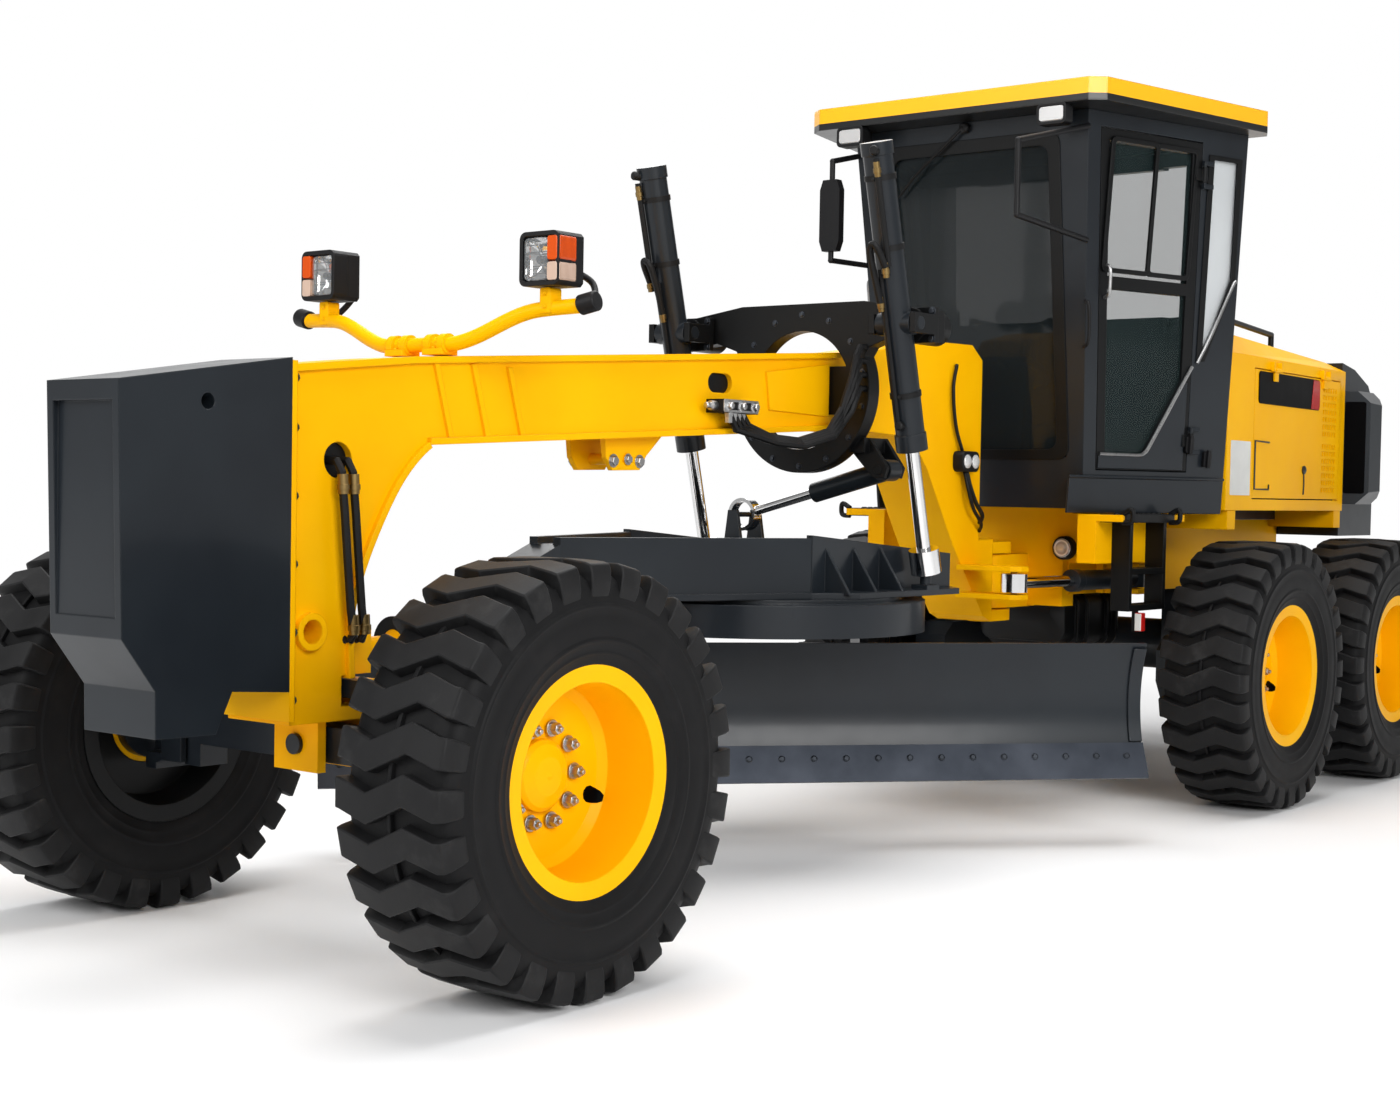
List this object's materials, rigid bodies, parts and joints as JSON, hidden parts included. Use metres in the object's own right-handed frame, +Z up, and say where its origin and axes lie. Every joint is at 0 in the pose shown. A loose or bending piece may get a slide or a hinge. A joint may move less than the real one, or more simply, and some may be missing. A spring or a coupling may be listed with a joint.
{
  "type": "motor grader",
  "caption": "Articulated motor grader with leaning steered front wheels, turning blade under a gooseneck frame, glazed cab and tandem drive.",
  "frame": {"origin": "ground level under the middle of the machine's overall length and width", "axes": "+X forward, +Y to the machine's left, +Z up"},
  "size_m": [8.7003, 2.615, 3.5083],
  "materials": {
    "yellow_paint": "gloss",
    "grey_paint": "satin",
    "tyre_rubber": "matt",
    "worn_steel": "worn",
    "chrome": "polished",
    "glass": "clear",
    "black_plastic": "satin"
  },
  "bodies": {
    "rear_frame": {"rear_frame": "yellow_paint", "tandem_axle": "grey_paint", "cab_shell": "grey_paint", "cab_roof": "yellow_paint", "cab_glass": "glass", "operator_seat": "black_plastic", "steering_console": "black_plastic", "engine_hood": "yellow_paint", "radiator_guard": "grey_paint", "hood_rail": "black_plastic", "engine_block": "grey_paint", "ladders": "black_plastic", "mirrors": "black_plastic", "work_lamps": "black_plastic"},
    "left_cab_door": {"left_door": "grey_paint", "left_door_glass": "glass"},
    "right_cab_door": {"right_door": "grey_paint", "right_door_glass": "glass"},
    "left_engine_door": {"left_engine_door": "yellow_paint"},
    "right_engine_door": {"right_engine_door": "yellow_paint"},
    "front_frame": {"front_frame": "yellow_paint", "front_weight": "grey_paint", "lift_saddle": "grey_paint", "headlamp_bar": "yellow_paint", "headlamps": "black_plastic", "hydraulic_hoses": "black_plastic", "front_axle": "grey_paint"},
    "left_lean": {"left_lean_bracket": "grey_paint"},
    "right_lean": {"right_lean_bracket": "grey_paint"},
    "left_steer": {"left_knuckle": "grey_paint"},
    "right_steer": {"right_knuckle": "grey_paint"},
    "lean_bar": {"lean_bar": "grey_paint"},
    "tie_rod": {"tie_rod": "chrome"},
    "drawbar": {"drawbar": "grey_paint"},
    "circle": {"circle": "grey_paint"},
    "blade_carrier": {"blade_carrier": "grey_paint"},
    "moldboard": {"moldboard": "grey_paint", "cutting_edge": "worn_steel"},
    "left_lift_barrel": {"left_lift_barrel": "grey_paint"},
    "left_lift_rod": {"left_lift_rod": "chrome"},
    "right_lift_barrel": {"right_lift_barrel": "grey_paint"},
    "right_lift_rod": {"right_lift_rod": "chrome"},
    "shift_barrel": {"shift_barrel": "grey_paint"},
    "shift_rod": {"shift_rod": "chrome"},
    "left_articulation_barrel": {"left_articulation_barrel": "grey_paint"},
    "left_articulation_rod": {"left_articulation_rod": "chrome"},
    "right_articulation_barrel": {"right_articulation_barrel": "grey_paint"},
    "right_articulation_rod": {"right_articulation_rod": "chrome"},
    "front_left_wheel": {"front_left_tyre": "tyre_rubber", "front_left_rim": "yellow_paint"},
    "front_right_wheel": {"front_right_tyre": "tyre_rubber", "front_right_rim": "yellow_paint"},
    "mid_left_wheel": {"mid_left_tyre": "tyre_rubber", "mid_left_rim": "yellow_paint"},
    "mid_right_wheel": {"mid_right_tyre": "tyre_rubber", "mid_right_rim": "yellow_paint"},
    "rear_left_wheel": {"rear_left_tyre": "tyre_rubber", "rear_left_rim": "yellow_paint"},
    "rear_right_wheel": {"rear_right_tyre": "tyre_rubber", "rear_right_rim": "yellow_paint"}
  },
  "joints": [
    {"name": "articulation", "type": "hinge", "parent": "rear_frame", "child": "front_frame", "pos_m": [-0.95, 0, 1.14], "axis": [0, 0, -1], "range_deg": [-25, 25]},
    {"name": "left_articulation_swing", "type": "hinge", "parent": "rear_frame", "child": "left_articulation_barrel", "pos_m": [-1.65, 0.5, 1.14], "axis": [0, 0, 1], "range_deg": [-12, 12]},
    {"name": "left_articulation_stroke", "type": "slide", "parent": "left_articulation_barrel", "child": "left_articulation_rod", "axis": [0.9974, -0.0725, 0], "range_m": [-0.25, 0.25]},
    {"name": "right_articulation_swing", "type": "hinge", "parent": "rear_frame", "child": "right_articulation_barrel", "pos_m": [-1.65, -0.5, 1.14], "axis": [0, 0, 1], "range_deg": [-12, 12]},
    {"name": "right_articulation_stroke", "type": "slide", "parent": "right_articulation_barrel", "child": "right_articulation_rod", "axis": [0.9974, 0.0725, 0], "range_m": [-0.25, 0.25]},
    {"name": "wheel_lean", "type": "hinge", "parent": "front_frame", "child": "left_lean", "pos_m": [3.4, 0.7, 0.62], "axis": [1, 0, 0], "range_deg": [-18, 18]},
    {"name": "right_wheel_lean", "type": "hinge", "parent": "front_frame", "child": "right_lean", "pos_m": [3.4, -0.7, 0.62], "axis": [1, 0, 0], "range_deg": [-18, 18]},
    {"name": "lean_bar_pivot", "type": "hinge", "parent": "left_lean", "child": "lean_bar", "pos_m": [3.4, 0.7, 0.88], "axis": [1, 0, 0], "range_deg": [-18, 18]},
    {"name": "steering", "type": "hinge", "parent": "left_lean", "child": "left_steer", "pos_m": [3.4, 0.82, 0.675], "axis": [0, 0, -1], "range_deg": [-45, 45]},
    {"name": "right_steering", "type": "hinge", "parent": "right_lean", "child": "right_steer", "pos_m": [3.4, -0.82, 0.675], "axis": [0, 0, -1], "range_deg": [-45, 45]},
    {"name": "steering_rod_stroke", "type": "slide", "parent": "front_frame", "child": "tie_rod", "axis": [0, 1, 0], "range_m": [-0.16, 0.16]},
    {"name": "drawbar_lift", "type": "hinge", "parent": "front_frame", "child": "drawbar", "pos_m": [3.05, 0, 1], "axis": [0, 1, 0], "range_deg": [-4.5, 4]},
    {"name": "left_lift_swing", "type": "hinge", "parent": "front_frame", "child": "left_lift_barrel", "pos_m": [0.8, 0.6, 2.27], "axis": [0, 1, 0], "range_deg": [-4, 4]},
    {"name": "left_lift_stroke", "type": "slide", "parent": "left_lift_barrel", "child": "left_lift_rod", "axis": [-0.2492, 0, -0.9685], "range_m": [-0.25, 0.25]},
    {"name": "right_lift_swing", "type": "hinge", "parent": "front_frame", "child": "right_lift_barrel", "pos_m": [0.8, -0.6, 2.27], "axis": [0, 1, 0], "range_deg": [-4, 4]},
    {"name": "right_lift_stroke", "type": "slide", "parent": "right_lift_barrel", "child": "right_lift_rod", "axis": [-0.2492, 0, -0.9685], "range_m": [-0.25, 0.25]},
    {"name": "shift_swing", "type": "hinge", "parent": "front_frame", "child": "shift_barrel", "pos_m": [0.5, 0.37, 1.66], "axis": [1, 0, 0], "range_deg": [-16, 16]},
    {"name": "shift_stroke", "type": "slide", "parent": "shift_barrel", "child": "shift_rod", "axis": [0, -0.9656, -0.26], "range_m": [-0.1, 0.1]},
    {"name": "circle_turn", "type": "hinge", "parent": "drawbar", "child": "circle", "pos_m": [0.99, 0, 1.05], "axis": [0, 0, 1], "continuous": true},
    {"name": "blade_pitch", "type": "hinge", "parent": "circle", "child": "blade_carrier", "pos_m": [0.86787, -0.14555, 0.43], "axis": [-0.766, 0.6428, 0], "range_deg": [-20, 20]},
    {"name": "blade_side_shift", "type": "slide", "parent": "blade_carrier", "child": "moldboard", "axis": [-0.766, 0.6428, 0], "range_m": [-0.5, 0.5]},
    {"name": "front_left_spin", "type": "hinge", "parent": "left_steer", "child": "front_left_wheel", "pos_m": [3.4, 1.03, 0.675], "axis": [0, 1, 0], "continuous": true},
    {"name": "front_right_spin", "type": "hinge", "parent": "right_steer", "child": "front_right_wheel", "pos_m": [3.4, -1.03, 0.675], "axis": [0, 1, 0], "continuous": true},
    {"name": "mid_left_spin", "type": "hinge", "parent": "rear_frame", "child": "mid_left_wheel", "pos_m": [-1.85, 1.085, 0.675], "axis": [0, 1, 0], "continuous": true},
    {"name": "mid_right_spin", "type": "hinge", "parent": "rear_frame", "child": "mid_right_wheel", "pos_m": [-1.85, -1.085, 0.675], "axis": [0, 1, 0], "continuous": true},
    {"name": "rear_left_spin", "type": "hinge", "parent": "rear_frame", "child": "rear_left_wheel", "pos_m": [-3.38, 1.085, 0.675], "axis": [0, 1, 0], "continuous": true},
    {"name": "rear_right_spin", "type": "hinge", "parent": "rear_frame", "child": "rear_right_wheel", "pos_m": [-3.38, -1.085, 0.675], "axis": [0, 1, 0], "continuous": true},
    {"name": "left_door_swing", "type": "hinge", "parent": "rear_frame", "child": "left_cab_door", "pos_m": [-1.60907, 0.81765, 1.85], "axis": [0.0692, 0.0611, 0.9957], "range_deg": [0, 85]},
    {"name": "right_door_swing", "type": "hinge", "parent": "rear_frame", "child": "right_cab_door", "pos_m": [-1.60907, -0.81765, 1.85], "axis": [-0.0692, 0.0611, -0.9957], "range_deg": [0, 85]},
    {"name": "left_engine_door_lift", "type": "hinge", "parent": "rear_frame", "child": "left_engine_door", "pos_m": [-2.09, 0.88448, 2.26], "axis": [0.9986, 0.0528, 0], "range_deg": [0, 75]},
    {"name": "right_engine_door_lift", "type": "hinge", "parent": "rear_frame", "child": "right_engine_door", "pos_m": [-2.09, -0.88448, 2.26], "axis": [-0.9986, 0.0528, 0], "range_deg": [0, 75]}
  ],
  "couplings": [
    {"joint": "left_articulation_swing", "follows": "articulation", "ratio": -0.32915},
    {"joint": "left_articulation_stroke", "follows": "articulation", "m_per_rad": 0.44491},
    {"joint": "right_articulation_swing", "follows": "articulation", "ratio": -0.32915},
    {"joint": "right_articulation_stroke", "follows": "articulation", "m_per_rad": -0.44491},
    {"joint": "right_wheel_lean", "follows": "wheel_lean", "ratio": 1},
    {"joint": "lean_bar_pivot", "follows": "wheel_lean", "ratio": -1},
    {"joint": "right_steering", "follows": "steering", "ratio": 1},
    {"joint": "steering_rod_stroke", "follows": "steering", "m_per_rad": 0.19},
    {"joint": "left_lift_swing", "follows": "drawbar_lift", "ratio": 0.37213},
    {"joint": "left_lift_stroke", "follows": "drawbar_lift", "m_per_rad": -2.4934},
    {"joint": "right_lift_swing", "follows": "drawbar_lift", "ratio": 0.37213},
    {"joint": "right_lift_stroke", "follows": "drawbar_lift", "m_per_rad": -2.4934},
    {"joint": "shift_swing", "follows": "drawbar_lift", "ratio": -2.9916},
    {"joint": "shift_stroke", "follows": "drawbar_lift", "m_per_rad": -0.70208}
  ]
}
